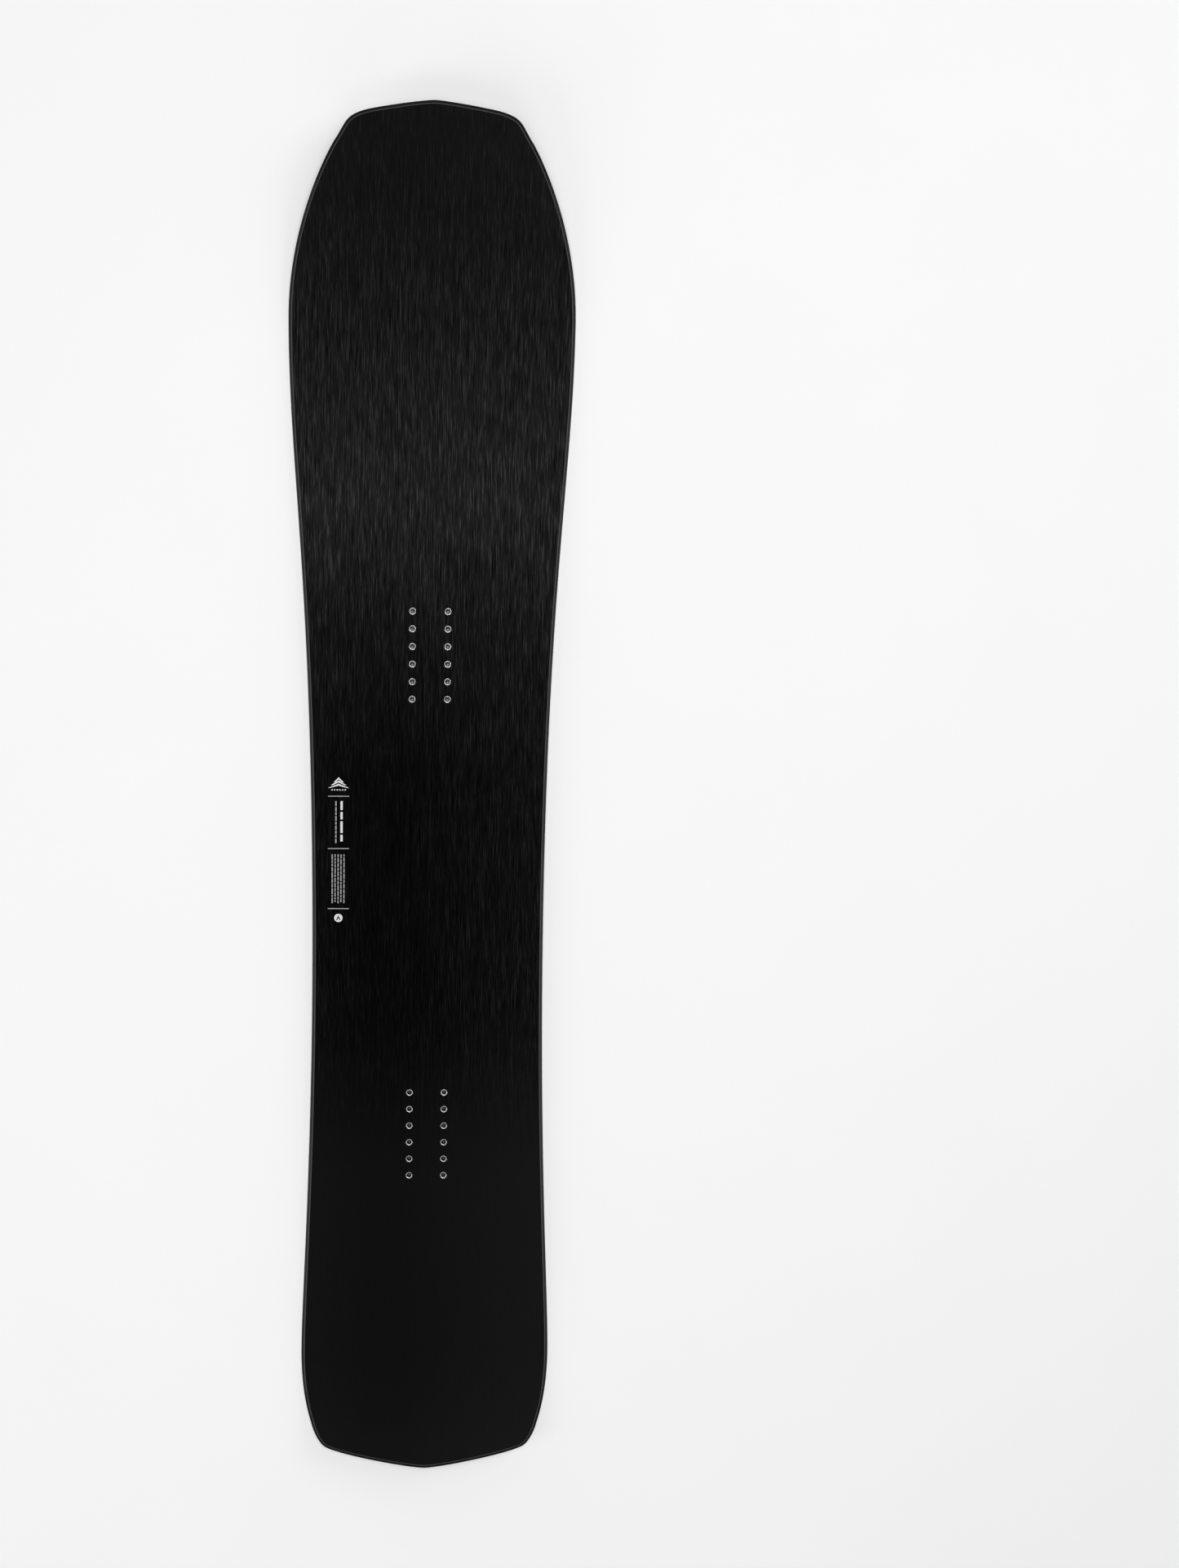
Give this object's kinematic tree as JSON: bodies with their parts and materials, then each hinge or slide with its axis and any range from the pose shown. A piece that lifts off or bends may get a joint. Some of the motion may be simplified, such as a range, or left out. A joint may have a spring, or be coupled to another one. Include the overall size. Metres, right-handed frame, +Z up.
{
  "type": "snowboard",
  "caption": "Solid directional snowboard with a broad blunt nose, a narrower tail, low camber, a steel edge all round and threaded binding inserts.",
  "frame": {"origin": "centre of the plan outline, on the plane that the board rests on", "axes": "+Y towards the nose, +Z up from base to topsheet, +X to the right of someone who looks from tail to nose"},
  "size_m": [0.3196, 1.5734, 0.0627],
  "materials": {
    "base": "sintered polyethylene, stone ground, black",
    "edge_steel": "ground",
    "rubber": "matt",
    "glass_laminate": "glass fibre in epoxy",
    "light_wood": "sanded",
    "dark_wood": "sanded",
    "sidewall": "satin, sanded bevel",
    "spacer": "satin, sanded bevel",
    "topsheet": "satin black with a fine lengthwise brushed grain",
    "insert_steel": "stainless, turned"
  },
  "bodies": {
    "root": {"base_sheet": "base", "steel_edge_left": "edge_steel", "steel_edge_right": "edge_steel", "edge_rubber_left": "rubber", "edge_rubber_right": "rubber", "lower_laminate": "glass_laminate", "core_centre_rear": "dark_wood", "core_centre_front": "dark_wood", "core_inner_left_rear": "light_wood", "core_inner_left_front": "light_wood", "core_middle_left_rear": "dark_wood", "core_middle_left_front": "dark_wood", "core_wide_left_rear": "light_wood", "core_wide_left_front": "light_wood", "core_outer_left_rear": "dark_wood", "core_outer_left_front": "dark_wood", "core_inner_right_rear": "light_wood", "core_inner_right_front": "light_wood", "core_middle_right_rear": "dark_wood", "core_middle_right_front": "dark_wood", "core_wide_right_rear": "light_wood", "core_wide_right_front": "light_wood", "core_outer_right_rear": "dark_wood", "core_outer_right_front": "dark_wood", "sidewall_left": "sidewall", "sidewall_right": "sidewall", "nose_spacer": "spacer", "tail_spacer": "spacer", "insert_front_left_1": "insert_steel", "insert_front_left_2": "insert_steel", "insert_front_left_3": "insert_steel", "insert_front_left_4": "insert_steel", "insert_front_left_5": "insert_steel", "insert_front_left_6": "insert_steel", "insert_front_right_1": "insert_steel", "insert_front_right_2": "insert_steel", "insert_front_right_3": "insert_steel", "insert_front_right_4": "insert_steel", "insert_front_right_5": "insert_steel", "insert_front_right_6": "insert_steel", "insert_rear_left_1": "insert_steel", "insert_rear_left_2": "insert_steel", "insert_rear_left_3": "insert_steel", "insert_rear_left_4": "insert_steel", "insert_rear_left_5": "insert_steel", "insert_rear_left_6": "insert_steel", "insert_rear_right_1": "insert_steel", "insert_rear_right_2": "insert_steel", "insert_rear_right_3": "insert_steel", "insert_rear_right_4": "insert_steel", "insert_rear_right_5": "insert_steel", "insert_rear_right_6": "insert_steel", "upper_laminate": "glass_laminate", "topsheet": "topsheet"}
  },
  "joints": []
}
